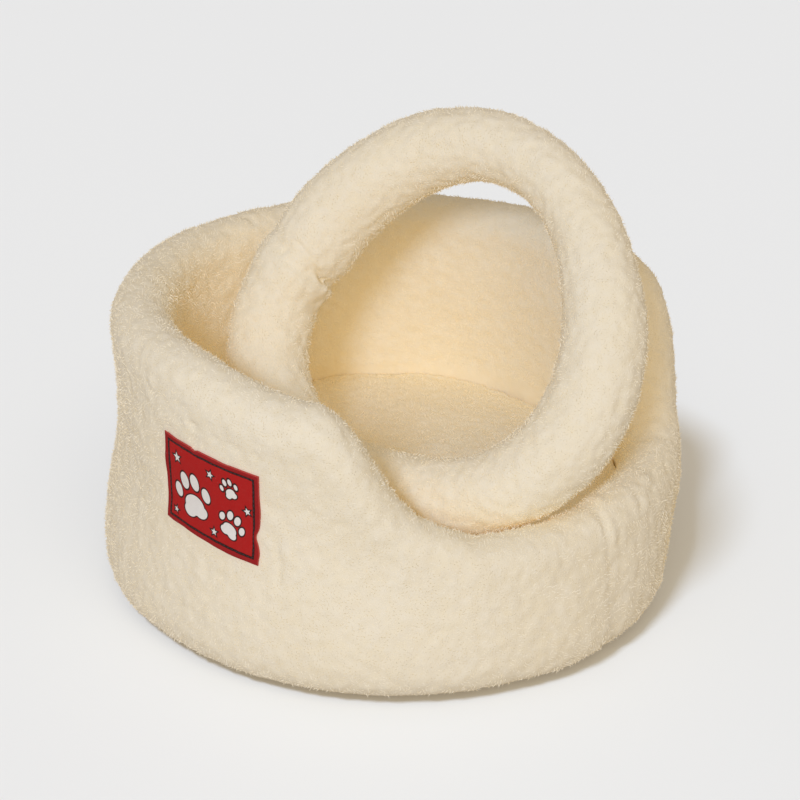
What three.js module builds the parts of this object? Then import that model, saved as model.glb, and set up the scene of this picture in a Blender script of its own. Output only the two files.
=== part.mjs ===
// Round nest bed for a puppy, in cream fleece: a padded wall that is tall at the back and scooped low
// at the front, a base panel, a loose floor cushion, a stuffed bolster ring that stands on the cushion
// and leans out over the low front rim, and a sewn-on patch at the left.
// Millimetres, +Z up. The origin is on the floor at the axis of the bed and the low entrance faces -Y.
// An angle round the bed is 0 at the middle of the entrance and grows towards +X, in degrees.
import * as THREE from 'three';

// Wall: a foam band in a fleece cover, with a rolled rim and a swollen foot.
const WALL_THICKNESS = 50;
const WAIST_RADIUS = 234.5;
const INNER_RADIUS = 192;
const FOOT_BULGE = 19.5;
const FOOT_HEIGHT = 28;
const FOOT_CORNER = 27;
const FOOT_FALL = 112;
const FOOT_SOLE_EDGE = 4;
const RIM_FRONT_HEIGHT = 119;
const RIM_ROUND_LIMIT = 36;
// Each row raises the rim from one angle on, over the next degrees, on both sides of the entrance.
const RIM_RISES = [
  { from: 14, over: 26, rise: 6 },
  { from: 31, over: 35, rise: 107 },
  { from: 55, over: 45, rise: 16 },
];
// Places where the rim stands a little higher, or lower on the left where the entrance is cut deeper:
// the middle's angle, the width in degrees and the rise.
const RIM_HUMPS = [
  { at: 5, width: 12, rise: 5 },
  { at: -152, width: 34, rise: 3 },
  { at: -48, width: 8, rise: -22 },
  { at: -76, width: 14, rise: -5 },
];
// Places where the stuffing stands out or is drawn in: angle and height of the middle, its width in
// degrees, how tall it is and its size. The foot is drawn in at the right of the entrance.
const WALL_SWELLS = [
  { at: 33, width: 26, height: 30, tall: 55, size: -17 },
  { at: 44, width: 34, height: 160, tall: 80, size: 10 },
  { at: 62, width: 16, height: 205, tall: 45, size: 7 },
  { at: -145, width: 30, height: 245, tall: 50, size: 2 },
];
// The cover's two ends are sewn together near the middle of the entrance, in a shallow groove that
// slants over the height of the entrance, and the cover within its reach slants with it.
const COVER_SEAM = { at: -5.2, width: 1.7, depth: 3, slant: 2.8, reach: 20 };
// Slow waves of the stuffing, a row for each: turns round the bed, height of one wave, size and phase.
const WALL_WAVES = [
  { turns: 7, tall: 170, size: 0.8, phase: 75 },
  { turns: 11, tall: 120, size: 0.5, phase: 140 },
];
const WALL_STATIONS = 90;
// More sections beside the cover's seam, in degrees from it.
const WALL_SEAM_STATIONS = [-3, -1.5, 1.5, 3];
const WALL_POINTS = { outside: 13, rim: 9, inside: 5, corner: 5 };

// Base panel and floor cushion, one on the other inside the wall.
const GAP = 0.3;
const BASE_THICKNESS = 3;
const BASE_RADIUS = 192.3;
const CUSHION_RADIUS = 191.4;
const CUSHION_EDGE_HEIGHT = 72;
const CUSHION_CROWN = 7;
// The full edge: how far it turns in at the faces, and the powers that keep its side nearly upright and
// its corners round.
const CUSHION_EDGE = { inset: 6, side: 0.5, corner: 0.5, points: 8 };
// Shares of the cushion's radius where its outline has a point, on top and underneath.
const CUSHION_TOP_SHARES = [0.8, 0.55, 0.28, 0];
const CUSHION_UNDER_SHARES = [0, 0.6];
const ROUND_STEPS = 72;

// Bolster ring: the middle line of its tube, where it stands, and how it leans.
const RING_RADIUS = 146.6;
const RING_TUBE_RADIUS = 35;
const RING_CENTRE = new THREE.Vector3(-14.2, -54.2, 228.1);
const RING_LEAN = 57;
const RING_FACES = -80.4;
const RING_STATIONS = 68;
const RING_SIDES = 18;
// How the ring strays from a true circle, and how its thickness varies, as waves round the ring.
const RING_WAVES = [
  { turns: 2, size: 2.2, phase: 27 },
  { turns: 3, size: 6.5, phase: 182 },
];
const TUBE_WAVES = [
  { turns: 1, size: 1.5, phase: -122 },
  { turns: 2, size: 2.8, phase: 141 },
  { turns: 3, size: 1.3, phase: 72 },
];
// The two ends of the tube are sewn together at the left, the lower end the fuller one. The joint's
// groove is shallower on the ring's outside, by the outer share, and slants within its reach.
const RING_JOINT = {
  at: 165,
  width: 2.6,
  depth: 6,
  outerShare: 0.4,
  fuller: 2.4,
  fade: 16,
  slant: 8,
  reach: 20,
};
// Sections beside the joint, in degrees from it. They take the place of the even ones within the clearance.
const RING_JOINT_STATIONS = [-4, -2, 0, 2, 4];
const RING_JOINT_CLEARANCE = 5;

// Patch: a thin woven piece sewn to the wall's left side.
const PATCH_WIDTH = 93;
const PATCH_HEIGHT = 73;
const PATCH_THICKNESS = 1.2;
const PATCH_GAP = 0.5;
const PATCH_AT = { angle: -86, height: 147, slope: 6.5 };
const PATCH_STEPS = { along: 14, up: 12 };

const FLEECE = { color: 0xecdfc4, roughness: 0.95, metalness: 0 };
const PATCH_CLOTH = { color: 0xb3231f, roughness: 0.8, metalness: 0 };

const rad = THREE.MathUtils.degToRad;

// Angle between -180 and 180 degrees.
function wrap(angle) {
  return THREE.MathUtils.euclideanModulo(angle + 180, 360) - 180;
}

// 0 below 0, 1 above 1 and a soft rise between.
function smooth(t) {
  return THREE.MathUtils.smoothstep(t, 0, 1);
}

// A soft bump of height 1 at 0.
function bump(distance, width) {
  return Math.exp(-((distance / width) ** 2));
}

// The point at an angle round the bed, a radius and a height.
function around(angle, radius, height) {
  return new THREE.Vector3(radius * Math.sin(rad(angle)), -radius * Math.cos(rad(angle)), height);
}

function rimHeight(angle) {
  const fromEntrance = Math.abs(wrap(angle));
  const humps = RIM_HUMPS.reduce((sum, row) => sum + row.rise * bump(wrap(angle - row.at), row.width), 0);
  return RIM_RISES.reduce(
    (height, row) => height + row.rise * smooth((fromEntrance - row.from) / row.over),
    RIM_FRONT_HEIGHT + humps,
  );
}

// The sum of a table of waves at an angle. A row with a tall value turns as it climbs the wall.
function waves(rows, angle, height = 0) {
  return rows.reduce((sum, row) => {
    const climb = row.tall ? (360 * height) / row.tall : 0;
    return sum + row.size * Math.sin(rad(row.turns * angle + row.phase + climb));
  }, 0);
}

// The outside of the wall at and above its foot.
function outsideRadius(angle, height) {
  const bulge = FOOT_BULGE * (1 - smooth((height - FOOT_HEIGHT) / FOOT_FALL));
  const swells = WALL_SWELLS.reduce((sum, row) => {
    const beside = bump(wrap(angle - row.at), row.width);
    return sum + row.size * beside * bump(height - row.height, row.tall);
  }, 0);
  return WAIST_RADIUS + bulge + swells + waves(WALL_WAVES, angle, height);
}

function coverSeamDepth(angle) {
  return COVER_SEAM.depth * bump(wrap(angle - COVER_SEAM.at), COVER_SEAM.width);
}

// Half the height of the rolled rim. It is taller where the rim slopes, so the roll stays as round.
function rimRound(angle) {
  const rise = rimHeight(angle + 1) - rimHeight(angle - 1);
  const run = 2 * rad(1) * WAIST_RADIUS;
  return Math.min((WALL_THICKNESS / 2) * Math.hypot(1, rise / run), RIM_ROUND_LIMIT);
}

// The wall's section at one angle, as radius and height pairs: up the outside, over the rim, down the
// inside and back along the sole and the foot's round corner.
function wallSection(angle) {
  const half = WALL_THICKNESS / 2;
  const round = rimRound(angle);
  const seam = coverSeamDepth(angle);
  const rimBase = rimHeight(angle) - round;
  const rimMiddle = outsideRadius(angle, rimBase) - half;
  const footRadius = outsideRadius(angle, FOOT_HEIGHT);
  const points = [];
  const { outside, rim, inside, corner } = WALL_POINTS;
  for (let i = 0; i < outside; i += 1) {
    const height = THREE.MathUtils.lerp(FOOT_HEIGHT, rimBase, i / outside);
    points.push([outsideRadius(angle, height) - seam, height]);
  }
  for (let i = 0; i < rim; i += 1) {
    const turn = (Math.PI * i) / (rim - 1);
    const shrink = 1 - seam / half;
    points.push([rimMiddle + half * shrink * Math.cos(turn), rimBase + (round - seam) * Math.sin(turn)]);
  }
  for (let i = 1; i <= inside; i += 1) {
    const height = THREE.MathUtils.lerp(rimBase, FOOT_SOLE_EDGE, i / inside);
    const lean = smooth((height - CUSHION_EDGE_HEIGHT) / (rimBase - CUSHION_EDGE_HEIGHT));
    points.push([THREE.MathUtils.lerp(INNER_RADIUS, rimMiddle - half, lean), height]);
  }
  points.push([INNER_RADIUS + FOOT_SOLE_EDGE, 0]);
  for (let i = 0; i < corner; i += 1) {
    const turn = (Math.PI / 2) * (i / corner);
    const radius = footRadius - FOOT_CORNER * (1 - Math.sin(turn)) - seam * Math.sin(turn);
    points.push([radius, FOOT_HEIGHT * (1 - Math.cos(turn))]);
  }
  return points;
}

// A closed ring-shaped skin: place(i, j) gives point j of the section at station i.
function ringSkin(stations, sides, place) {
  const geometry = new THREE.TorusGeometry(2, 1, sides, stations);
  const { position, uv } = geometry.attributes;
  for (let k = 0; k < position.count; k += 1) {
    const i = Math.round(uv.getX(k) * stations) % stations;
    const j = Math.round(uv.getY(k) * sides) % sides;
    position.setXYZ(k, ...place(i, j));
  }
  geometry.computeVertexNormals();
  return geometry;
}

function wallGeometry() {
  const even = Array.from({ length: WALL_STATIONS }, (_, i) => (360 * i) / WALL_STATIONS);
  const angles = [...even, ...WALL_SEAM_STATIONS.map((angle) => angle + COVER_SEAM.at)];
  const stations = angles.map((angle) => wrap(angle)).sort((a, b) => a - b);
  const sections = stations.map((angle) => wallSection(angle));
  return ringSkin(stations.length, sections[0].length, (i, j) => {
    const [radius, height] = sections[i][j];
    const beside = bump(wrap(stations[i] - COVER_SEAM.at), COVER_SEAM.reach);
    const slanted = COVER_SEAM.slant * (height / RIM_FRONT_HEIGHT - 0.5) * beside;
    return around(stations[i] + slanted, radius, height);
  });
}

function baseGeometry() {
  const geometry = new THREE.CylinderGeometry(BASE_RADIUS, BASE_RADIUS, BASE_THICKNESS, ROUND_STEPS);
  geometry.rotateX(Math.PI / 2);
  geometry.translate(0, 0, BASE_THICKNESS / 2);
  return geometry;
}

// The cushion's top, crowned in the middle.
function cushionTop(radius) {
  return CUSHION_EDGE_HEIGHT + CUSHION_CROWN * (1 - (radius / CUSHION_RADIUS) ** 2);
}

// Half of the cushion's outline, from its underside at the axis round its full edge to the crown.
function cushionGeometry() {
  const underside = BASE_THICKNESS + GAP;
  const middle = (underside + CUSHION_EDGE_HEIGHT) / 2;
  const outline = CUSHION_UNDER_SHARES.map((share) => new THREE.Vector2(CUSHION_RADIUS * share, underside));
  for (let i = 0; i <= CUSHION_EDGE.points; i += 1) {
    const turn = Math.PI * (i / CUSHION_EDGE.points) - Math.PI / 2;
    const radius = CUSHION_RADIUS - CUSHION_EDGE.inset * (1 - Math.cos(turn) ** CUSHION_EDGE.side);
    const lift = Math.sign(Math.sin(turn)) * Math.abs(Math.sin(turn)) ** CUSHION_EDGE.corner;
    const half = lift > 0 ? cushionTop(radius) - middle : middle - underside;
    outline.push(new THREE.Vector2(radius, middle + half * lift));
  }
  for (const share of CUSHION_TOP_SHARES) {
    outline.push(new THREE.Vector2(CUSHION_RADIUS * share, cushionTop(CUSHION_RADIUS * share)));
  }
  const geometry = new THREE.LatheGeometry(outline, ROUND_STEPS);
  geometry.rotateX(Math.PI / 2);
  return geometry;
}

// The ring's own directions: its right, the way up its leaning plane, and the way that its face looks.
function ringAxes() {
  const right = around(RING_FACES + 90, 1, 0);
  const up = around(RING_FACES + 180, Math.cos(rad(RING_LEAN)), Math.sin(rad(RING_LEAN)));
  return { right, up, face: right.clone().cross(up) };
}

// Tube radius at an angle round the ring. The groove of the sewn joint is deepest on the ring's inside.
function tubeRadius(angle, inwards) {
  const past = wrap(angle - RING_JOINT.at);
  const share = THREE.MathUtils.lerp(RING_JOINT.outerShare, 1, inwards);
  const groove = RING_JOINT.depth * share * bump(past, RING_JOINT.width);
  const fuller = past > 0 ? RING_JOINT.fuller * bump(past, RING_JOINT.fade) : 0;
  return RING_TUBE_RADIUS + waves(TUBE_WAVES, angle) + fuller - groove;
}

function ringGeometry() {
  const { right, up, face } = ringAxes();
  const even = Array.from({ length: RING_STATIONS }, (_, i) => (360 * i) / RING_STATIONS);
  const near = RING_JOINT_STATIONS.map((step) => RING_JOINT.at + step);
  const clear = even.filter((angle) => Math.abs(wrap(angle - RING_JOINT.at)) > RING_JOINT_CLEARANCE);
  const stations = [...clear, ...near].sort((a, b) => a - b);
  return ringSkin(stations.length, RING_SIDES, (i, j) => {
    const across = (2 * Math.PI * j) / RING_SIDES;
    const inwards = smooth((1 - Math.cos(across)) / 2);
    const slanted = RING_JOINT.slant * inwards * bump(wrap(stations[i] - RING_JOINT.at), RING_JOINT.reach);
    const turn = rad(stations[i] + slanted);
    const outwards = right.clone().multiplyScalar(Math.cos(turn)).addScaledVector(up, Math.sin(turn));
    const tube = tubeRadius(stations[i], inwards);
    const radius = RING_RADIUS + waves(RING_WAVES, stations[i]) + tube * Math.cos(across);
    const aside = tube * Math.sin(across);
    return RING_CENTRE.clone().addScaledVector(outwards, radius).addScaledVector(face, aside);
  });
}

// A flat sheet laid round the wall's outside, a gap off it, its upper and lower edges sloping a little.
function patchGeometry() {
  const { along, up } = PATCH_STEPS;
  const geometry = new THREE.BoxGeometry(PATCH_WIDTH, PATCH_HEIGHT, PATCH_THICKNESS, along, up, 1);
  const slope = Math.tan(rad(PATCH_AT.slope));
  const { position } = geometry.attributes;
  for (let k = 0; k < position.count; k += 1) {
    const height = PATCH_AT.height + position.getY(k) - slope * position.getX(k);
    const angle = PATCH_AT.angle + THREE.MathUtils.radToDeg(position.getX(k) / WAIST_RADIUS);
    const outwards = PATCH_GAP + PATCH_THICKNESS / 2 + position.getZ(k);
    position.setXYZ(k, ...around(angle, outsideRadius(angle, height) + outwards, height));
  }
  geometry.computeVertexNormals();
  return geometry;
}

function piece(name, geometry, look) {
  const mesh = new THREE.Mesh(geometry, new THREE.MeshStandardMaterial(look));
  mesh.name = name;
  return mesh;
}

const bed = new THREE.Group();
bed.name = 'puppy_nest_bed';
bed.add(
  piece('wall', wallGeometry(), FLEECE),
  piece('base_panel', baseGeometry(), FLEECE),
  piece('floor_cushion', cushionGeometry(), FLEECE),
  piece('bolster_ring', ringGeometry(), FLEECE),
  piece('patch', patchGeometry(), PATCH_CLOTH),
);

export default bed;
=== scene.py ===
# %% [markdown]
# A round nest bed for a puppy, sewn from cream fleece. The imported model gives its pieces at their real
# size: a padded wall that is tall behind and low in front, a base panel, a floor cushion, a stuffed
# bolster ring and a red patch. This notebook dresses each of them. Sizes are in millimetres where they
# are named, and MM turns them into Blender's metres.

# %% The frame
import math

import bmesh
import bpy
import numpy as np
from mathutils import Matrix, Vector, noise
from mathutils.bvhtree import BVHTree


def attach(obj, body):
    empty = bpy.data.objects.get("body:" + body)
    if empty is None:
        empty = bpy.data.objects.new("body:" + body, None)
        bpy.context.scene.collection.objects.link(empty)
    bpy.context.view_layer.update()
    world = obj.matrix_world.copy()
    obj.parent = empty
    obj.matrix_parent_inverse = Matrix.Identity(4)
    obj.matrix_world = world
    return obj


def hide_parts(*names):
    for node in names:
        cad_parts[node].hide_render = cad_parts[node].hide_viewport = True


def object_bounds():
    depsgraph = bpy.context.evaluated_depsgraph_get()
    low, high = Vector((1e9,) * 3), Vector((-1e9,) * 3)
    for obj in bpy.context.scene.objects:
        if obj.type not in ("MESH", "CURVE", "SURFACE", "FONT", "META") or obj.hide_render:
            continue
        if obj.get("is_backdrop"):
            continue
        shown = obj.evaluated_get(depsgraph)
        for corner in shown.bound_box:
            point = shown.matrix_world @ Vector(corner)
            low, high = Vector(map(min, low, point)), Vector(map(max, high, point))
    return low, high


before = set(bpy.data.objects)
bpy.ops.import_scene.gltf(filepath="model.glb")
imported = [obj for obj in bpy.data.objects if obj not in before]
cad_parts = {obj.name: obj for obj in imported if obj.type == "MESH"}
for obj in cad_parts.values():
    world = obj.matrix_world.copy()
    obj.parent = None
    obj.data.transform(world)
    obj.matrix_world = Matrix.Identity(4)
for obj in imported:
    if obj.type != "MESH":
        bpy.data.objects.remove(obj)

MM = 0.001
cad_low, cad_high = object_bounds()
scene = bpy.context.scene
print("nodes", sorted(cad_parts), "size in mm", [round(x / MM) for x in cad_high - cad_low])

# %% [markdown]
# The camera comes first, because it decides what is seen. The photo was taken from the front left and
# from above, with a long lens. A camera can be turned by hand until the picture fits, but here its
# direction, distance and lens are named numbers, so the view can be set again on any day. The lens is
# given by how many pixels wide the photo is and how many pixels make one unit of slope.

# %% Camera
PHOTO_PIXELS = 800
FOCAL_PIXELS = 1757
CAMERA_AZIMUTH = math.radians(-49)
CAMERA_ELEVATION = math.radians(26)
CAMERA_DISTANCE = 1500 * MM
TARGET_ASIDE = 2.6 * MM
TARGET_HEIGHT = 138 * MM

camera_right = Vector((math.cos(CAMERA_AZIMUTH), math.sin(CAMERA_AZIMUTH), 0))
camera_away = Vector((-math.sin(CAMERA_AZIMUTH), math.cos(CAMERA_AZIMUTH), 0))
to_camera = -camera_away * math.cos(CAMERA_ELEVATION) + Vector((0, 0, math.sin(CAMERA_ELEVATION)))
target = camera_right * TARGET_ASIDE + Vector((0, 0, TARGET_HEIGHT))

lens = bpy.data.cameras.new("camera")
lens.lens = lens.sensor_width * FOCAL_PIXELS / PHOTO_PIXELS
camera = bpy.data.objects.new("camera", lens)
camera.location = target + to_camera * CAMERA_DISTANCE
camera.rotation_euler = (-to_camera).to_track_quat("-Z", "Y").to_euler()
scene.collection.objects.link(camera)
scene.camera = camera
print("lens in mm", round(lens.lens, 1))

# %% [markdown]
# Materials and geometry trees are both made of nodes. Nodes can be added one by one with many lines of
# code, but then the sums get lost among them. A small class that wraps a socket lets the sums be written
# as Python sums, and one method makes every other node: its settings first, then its inputs.

# %% Nodes as expressions
class Value:
    """A node's output. Sums and products with it add Math nodes."""

    def __init__(self, graph, socket):
        self.graph = graph
        self.socket = socket

    def __add__(self, other):
        return self.graph.maths("ADD", self, other)

    def __sub__(self, other):
        return self.graph.maths("SUBTRACT", self, other)

    def __rsub__(self, other):
        return self.graph.maths("SUBTRACT", other, self)

    def __mul__(self, other):
        return self.graph.maths("MULTIPLY", self, other)

    def __truediv__(self, other):
        return self.graph.maths("DIVIDE", self, other)

    def __pow__(self, other):
        return self.graph.maths("POWER", self, other)

    __radd__ = __add__
    __rmul__ = __mul__


class Graph:
    """A tree of nodes, in a material or in a geometry group."""

    def __init__(self, tree):
        self.tree = tree

    def fill(self, node, inputs):
        """Links a node's inputs to other nodes' outputs, or sets them."""
        for key, value in inputs.items():
            if isinstance(value, Value):
                self.tree.links.new(value.socket, node.inputs[key])
            else:
                node.inputs[key].default_value = value

    def node(self, kind, settings, inputs):
        made = self.tree.nodes.new(kind)
        for name, value in settings.items():
            setattr(made, name, value)
        self.fill(made, inputs)
        return made

    def value(self, kind, settings, inputs, output=0):
        return Value(self, self.node(kind, settings, inputs).outputs[output])

    def maths(self, operation, *terms):
        return self.value("ShaderNodeMath", {"operation": operation}, dict(enumerate(terms)))

    def mixed(self, share, low, high):
        """A colour between two. The Mix node's sockets share their names, so they go by number."""
        factor, first, second, result = 0, 6, 7, 2
        inputs = {factor: share, first: low, second: high}
        return self.value("ShaderNodeMix", {"data_type": "RGBA"}, inputs, result)

    def noise(self, place, size, detail=2.0):
        """A soft random pattern from 0 to 1 whose features are about size metres wide."""
        inputs = {"Vector": place, "Scale": 1 / size, "Detail": detail}
        return self.value("ShaderNodeTexNoise", {}, inputs, "Fac")


def new_material(name):
    """An empty material, its graph and its one surface shader."""
    material = bpy.data.materials.new(name)
    material.use_nodes = True
    graph = Graph(material.node_tree)
    shader = material.node_tree.nodes["Principled BSDF"]
    return material, graph, shader


print("graph helpers ready")

# %% [markdown]
# The photo is lit by a white studio that is almost as bright from every side. A soft light stands at
# the camera and fills what the camera sees. A cooler key light stands a little to its left, rather low,
# shines through the bolster ring and draws the ring's shadow on the back wall inside. The floor's
# shadow is short, so the floor has lights of its own, and light linking keeps each lamp to what it
# should light. A sun is the simplest lamp, because it needs no place. The key is a round softbox
# instead: it is near, so its light comes from further left at the bed's right side. Deep inside a pale
# nest the light goes from cloth to cloth many times and turns warm on its way, so it may bounce more
# often than by default.

# %% Studio light
LIGHT_BOUNCES = 12
STUDIO_LIGHT = {"colour": (1.0, 0.885, 0.802), "strength": 0.403}
KEY_LIGHT = dict(azimuth=-102, elevation=30, disc=9, strength=1.3, colour=(0.455, 0.62, 1.0))
KEY_DISTANCE = 2.6
FRONT_LIGHT = dict(azimuth=-90, elevation=27, disc=30, strength=0.81, colour=(1.0, 0.81, 0.571))
FLOOR_LIGHT = dict(azimuth=-127, elevation=58, disc=12, strength=2.036, colour=(0.67, 0.8, 1.0))
FLOOR_FILL = dict(azimuth=-90, elevation=60, disc=60, strength=0.91, colour=(1.0, 0.9, 0.6))

scene.view_settings.view_transform = "Standard"
scene.cycles.diffuse_bounces = LIGHT_BOUNCES
world = bpy.data.worlds.new("studio")
world.use_nodes = True
background = world.node_tree.nodes["Background"]
background.inputs["Color"].default_value = (*STUDIO_LIGHT["colour"], 1)
background.inputs["Strength"].default_value = STUDIO_LIGHT["strength"]
scene.world = world


def lamp(name, kind, azimuth, elevation, colour):
    """A lamp and the way to it. Azimuth is counted from the camera's right; 90 is away from the camera."""
    light = bpy.data.lights.new(name, kind)
    light.color = colour
    turn, rise = math.radians(azimuth), math.radians(elevation)
    level = camera_right * math.cos(turn) + camera_away * math.sin(turn)
    to_lamp = level * math.cos(rise) + Vector((0, 0, math.sin(rise)))
    made = bpy.data.objects.new(name, light)
    made.rotation_euler = (-to_lamp).to_track_quat("-Z", "Y").to_euler()
    scene.collection.objects.link(made)
    return made, to_lamp


def sun(name, azimuth, elevation, disc, strength, colour):
    made, _ = lamp(name, "SUN", azimuth, elevation, colour)
    made.data.energy = strength
    made.data.angle = math.radians(disc)
    return made


def softbox(name, distance, azimuth, elevation, disc, strength, colour):
    """A round area lamp that lights the bed as strongly as a sun of this strength and disc."""
    made, to_lamp = lamp(name, "AREA", azimuth, elevation, colour)
    made.location = target + to_lamp * distance
    made.data.shape = "DISK"
    made.data.size = distance * math.tan(math.radians(disc))
    made.data.energy = strength * math.pi * distance**2
    return made


bed_lights = [softbox("key_light", KEY_DISTANCE, **KEY_LIGHT), sun("front_light", **FRONT_LIGHT)]
floor_lights = [sun("floor_light", **FLOOR_LIGHT), sun("floor_fill", **FLOOR_FILL)]
print("lamps", [made.name for made in bed_lights + floor_lights])

# %% [markdown]
# The floor is a plain pale studio floor that fills the whole view. One large square is enough. It is
# as bright as a lit page, and so near it would light the foot of the bed more than the photo shows, so
# the bed's own light passes it by.

# %% Floor
FLOOR_HALF = 6.0
FLOOR_COLOUR = (0.80, 0.80, 0.80, 1)

floor_material, graph, shader = new_material("studio_floor")
graph.fill(shader, {"Base Color": FLOOR_COLOUR, "Roughness": 0.9})
floor_mesh = bpy.data.meshes.new("floor")
corners = [(FLOOR_HALF * x, FLOOR_HALF * y, 0) for x, y in [(-1, -1), (1, -1), (1, 1), (-1, 1)]]
floor_mesh.from_pydata(corners, [], [(0, 1, 2, 3)])
floor_mesh.materials.append(floor_material)
floor = bpy.data.objects.new("floor", floor_mesh)
floor.visible_diffuse = False
floor.visible_shadow = False
scene.collection.objects.link(floor)
floor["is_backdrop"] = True


def link_light(lamps, name, state):
    """The lamps light only the floor, or all but the floor."""
    receivers = bpy.data.collections.new(name)
    receivers.objects.link(floor)
    receivers.collection_objects[0].light_linking.link_state = state
    for made in lamps:
        made.light_linking.receiver_collection = receivers


link_light(bed_lights, "all_but_the_floor", "EXCLUDE")
link_light(floor_lights, "only_the_floor", "INCLUDE")
print("floor", FLOOR_HALF * 2, "m wide")

# %% [markdown]
# Fleece is a knitted cloth with a short, curly pile. Its own colour is cream. Down at the roots it is
# painted warmer and darker, a painted shade for light that has gone from fibre to fibre, and at the tips
# painted paler. A picture of fleece could be wrapped round the bed, but it would stretch, so the pattern
# here comes from noise in the object's own coordinates. One material serves the cloth and another the
# locks of its pile, which carry an attribute for the height along the lock.

# %% Fleece
CREAM_TIP = (0.975, 0.90, 0.70, 1)
CREAM = (0.97, 0.885, 0.655, 1)
# The root colour is painted shade: cream made warmer and darker where light goes from fibre to fibre.
CREAM_SHADED_ROOT = (0.96, 0.85, 0.58, 1)
TINT_SIZE = 70 * MM
CRUMB_SIZE = 7 * MM
FIBRE_SIZE = 1.1 * MM
TINT_CONTRAST = 0.9
CRUMB_CONTRAST = 1.6
CRUMB_BUMP = 0.7
FIBRE_BUMP = 0.5
# How much paler a lock gets to its tip, how much locks differ, and how much darker the roots are;
# the change along the lock is painted shade among the fibres.
LOCK_PALENESS = {"tip": 0.8, "tone": 0.4, "root": -0.05}
SOFT_SURFACE = {"Specular IOR Level": 0.15, "Sheen Weight": 0.08}

fleece, graph, shader = new_material("fleece")
place = graph.value("ShaderNodeTexCoord", {}, {}, "Object")
tint = graph.noise(place, TINT_SIZE)
crumb = graph.noise(place, CRUMB_SIZE, 3)
fibre = graph.noise(place, FIBRE_SIZE, 2)
# The cloth takes the darker shaded-root colour where the crumb bump is low, a painted shade in its
# hollows; the slow tint is random tone.
paleness = (crumb - 0.5) * CRUMB_CONTRAST + (tint - 0.5) * TINT_CONTRAST + 0.5
shade = graph.value("ShaderNodeClamp", {}, {"Value": paleness})
relief = {"Strength": 0.6, "Distance": 1.0 * MM, "Height": crumb * CRUMB_BUMP + fibre * FIBRE_BUMP}
cloth_look = {
    "Base Color": graph.mixed(shade, CREAM_SHADED_ROOT, CREAM),
    "Roughness": 0.95,
    "Sheen Roughness": 0.6,
    "Normal": graph.value("ShaderNodeBump", {}, relief),
}
graph.fill(shader, {**SOFT_SURFACE, **cloth_look})

fleece_pile, graph, shader = new_material("fleece_pile")
tip = graph.value("ShaderNodeAttribute", {"attribute_name": "tip"}, {}, "Fac")
tone = graph.value("ShaderNodeAttribute", {"attribute_name": "tone"}, {}, "Fac")
# Painted shade along each lock: darker at the root, paler at the tip. The tone varies at random.
paleness = tip * LOCK_PALENESS["tip"] + tone * LOCK_PALENESS["tone"] + LOCK_PALENESS["root"]
shade = graph.value("ShaderNodeClamp", {}, {"Value": paleness})
lock_colour = graph.mixed(shade, CREAM_SHADED_ROOT, CREAM_TIP)
graph.fill(
    shader, {**SOFT_SURFACE, "Base Color": lock_colour, "Roughness": 0.9, "Sheen Roughness": 0.5}
)
print("fleece", [round(c, 2) for c in CREAM[:3]])

# %% [markdown]
# A few helpers that every soft piece uses. A soft piece starts as a merged copy of its solid, so its
# place and size are the model's own. A voxel remesh gives it small, even faces, which take folds and
# crumbs well. Sculpting by hand would do as well, but moving points in code keeps control of each fold
# and gives the same bed on every run.

# %% Helpers for soft pieces
MERGE_DISTANCE = 0.01
SMOOTHING = 0.5


def points_of(mesh):
    """The mesh's points as rows of x, y and z, in millimetres."""
    flat = np.zeros(len(mesh.vertices) * 3)
    mesh.vertices.foreach_get("co", flat)
    return flat.reshape(-1, 3) / MM


def put_points(mesh, points):
    mesh.vertices.foreach_set("co", (points * MM).ravel())
    mesh.update()


def normals_of(mesh):
    flat = np.zeros(len(mesh.vertices) * 3)
    mesh.vertices.foreach_get("normal", flat)
    return flat.reshape(-1, 3)


def settled(piece):
    """Applies the piece's modifiers, so that only a plain mesh is left."""
    depsgraph = bpy.context.evaluated_depsgraph_get()
    evaluated = piece.evaluated_get(depsgraph)
    mesh = bpy.data.meshes.new_from_object(evaluated, preserve_all_data_layers=True, depsgraph=depsgraph)
    piece.modifiers.clear()
    piece.data = mesh
    return piece


def shape_of(mesh):
    """The mesh in a form whose points and faces can be edited."""
    shape = bmesh.new()
    shape.from_mesh(mesh)
    return shape


def put_shape(shape, mesh):
    shape.to_mesh(mesh)
    shape.free()
    return mesh


def new_piece(name, mesh):
    piece = bpy.data.objects.new(name, mesh)
    scene.collection.objects.link(piece)
    return piece


def copy_of(node, name):
    """A copy of a node's solid with its loose triangles merged."""
    shape = shape_of(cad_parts[node].data)
    bmesh.ops.remove_doubles(shape, verts=shape.verts, dist=MERGE_DISTANCE * MM)
    return new_piece(name, put_shape(shape, bpy.data.meshes.new(name)))


def remeshed(piece, voxel, smoothing):
    """Even faces about one voxel wide, then smoothed."""
    even = piece.modifiers.new("even", "REMESH")
    even.mode = "VOXEL"
    even.voxel_size = voxel * MM
    even.use_smooth_shade = True
    soft = piece.modifiers.new("soft", "SMOOTH")
    soft.factor = SMOOTHING
    soft.iterations = smoothing
    return settled(piece)


def triangles_of(piece):
    return sum(len(p.vertices) - 2 for p in piece.data.polygons)


print("loose solids", {node: len(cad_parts[node].data.polygons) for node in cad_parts})

# %% [markdown]
# A fold must know where the cloth is, and where the next piece is. Each solid becomes a search tree
# that finds the nearest point on it. From the trees come the room between a piece and its neighbours,
# and how far a point strays out of its own solid. Where two pieces touch there is no room, so nothing
# moves outwards there, and the dressed pieces never run into each other.

# %% Room around a piece
FAR = 14
MARGIN = 0.5


def solid_tree(node):
    """The node's solid as a search tree, for the nearest point on it."""
    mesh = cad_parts[node].data
    corners = [v.co.copy() for v in mesh.vertices]
    return BVHTree.FromPolygons(corners, [tuple(p.vertices) for p in mesh.polygons])


trees = {node: solid_tree(node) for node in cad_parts}


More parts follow.
